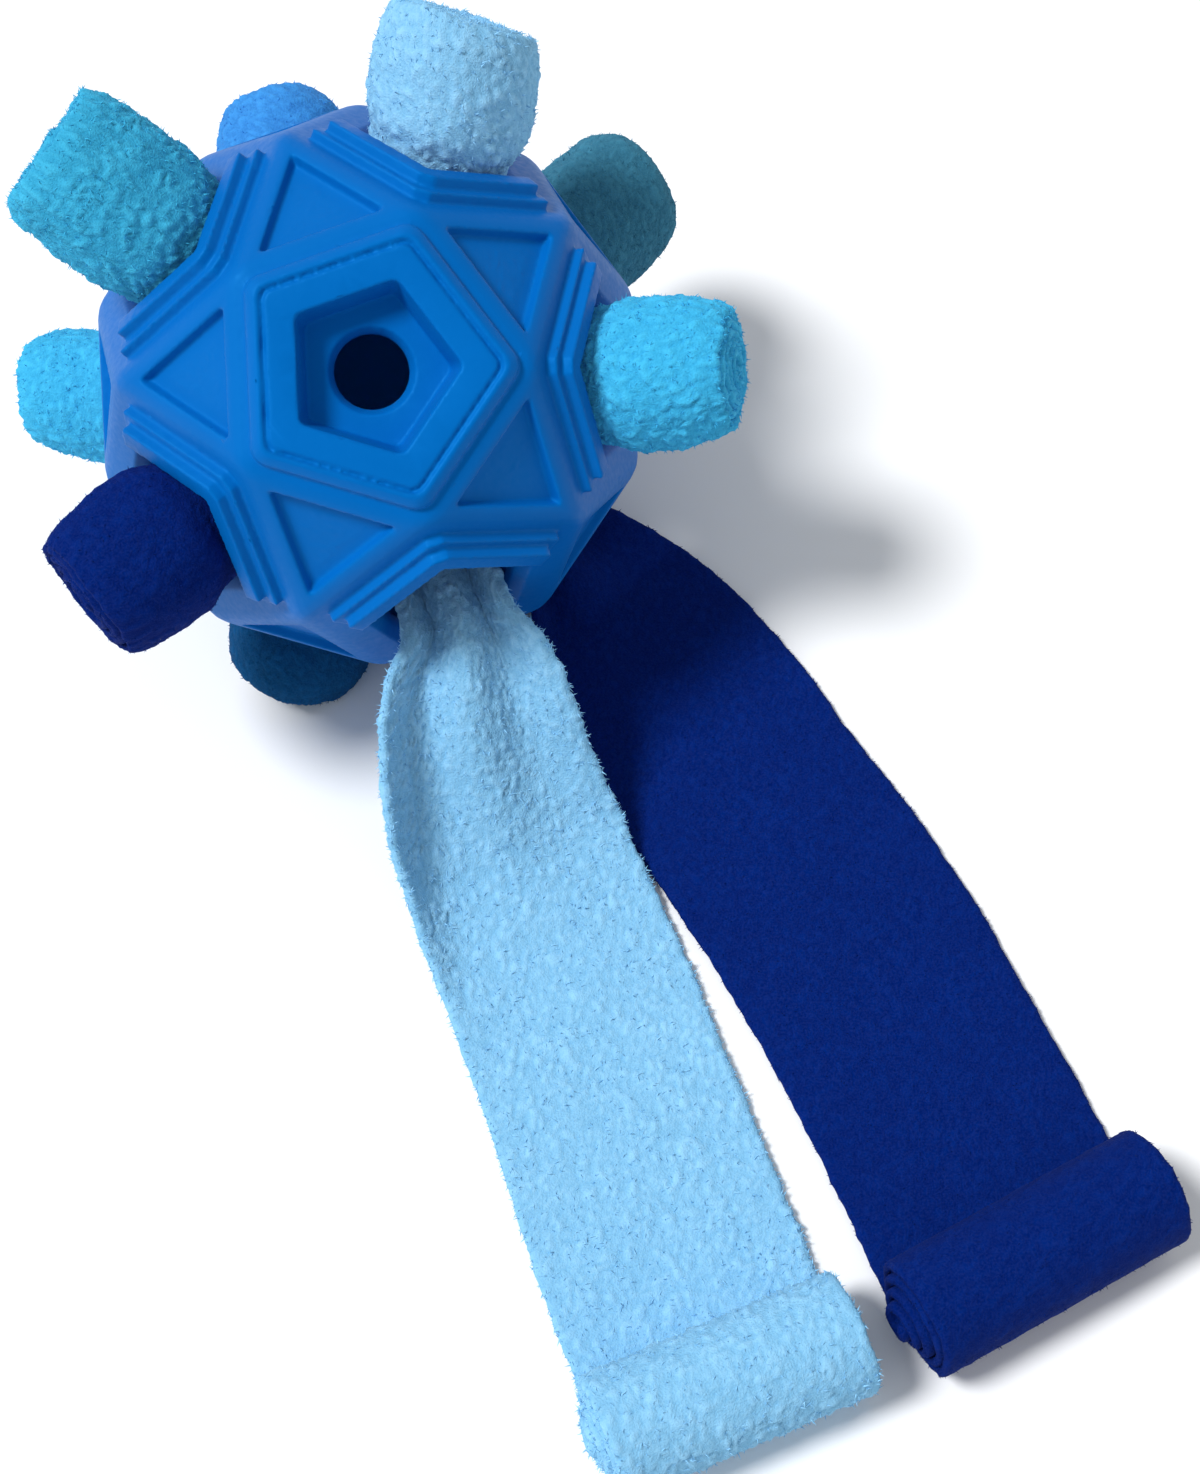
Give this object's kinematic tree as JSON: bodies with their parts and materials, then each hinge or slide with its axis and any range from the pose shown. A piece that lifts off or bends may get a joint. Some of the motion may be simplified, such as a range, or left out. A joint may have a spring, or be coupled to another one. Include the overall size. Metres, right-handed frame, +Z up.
{
  "type": "dog snuffle ball",
  "caption": "Hollow blue rubber snuffle ball for dogs, with a treat well and fleece strips rolled into its windows, two of them pulled out across the floor.",
  "frame": {"origin": "middle of the bounding box, on the floor it lies on", "axes": "+Z up from the floor. -Y is the front, where the two strips lie and towards which the pole with the treat well leans. +X is to the right seen from the front."},
  "size_m": [0.2223, 0.2692, 0.1217],
  "materials": {
    "rubber_blue": "satin moulded rubber, fine pebble in the triangular panels",
    "fleece_cyan": "nubby polyester fleece",
    "fleece_sky": "nubby polyester fleece",
    "fleece_turquoise": "nubby polyester fleece",
    "fleece_navy": "brushed polyester fleece",
    "fleece_teal": "brushed polyester fleece",
    "fleece_mid_blue": "nubby polyester fleece",
    "fleece_petrol": "brushed polyester fleece"
  },
  "bodies": {
    "root": {"ball_shell": "rubber_blue", "roll_right": "fleece_cyan", "roll_top": "fleece_sky", "roll_upper_left": "fleece_turquoise", "roll_lower_left": "fleece_navy", "roll_behind_right": "fleece_teal", "roll_behind_top": "fleece_mid_blue", "roll_behind_left": "fleece_cyan", "roll_under": "fleece_petrol", "strip_sky": "fleece_sky", "strip_navy": "fleece_navy"}
  },
  "joints": []
}
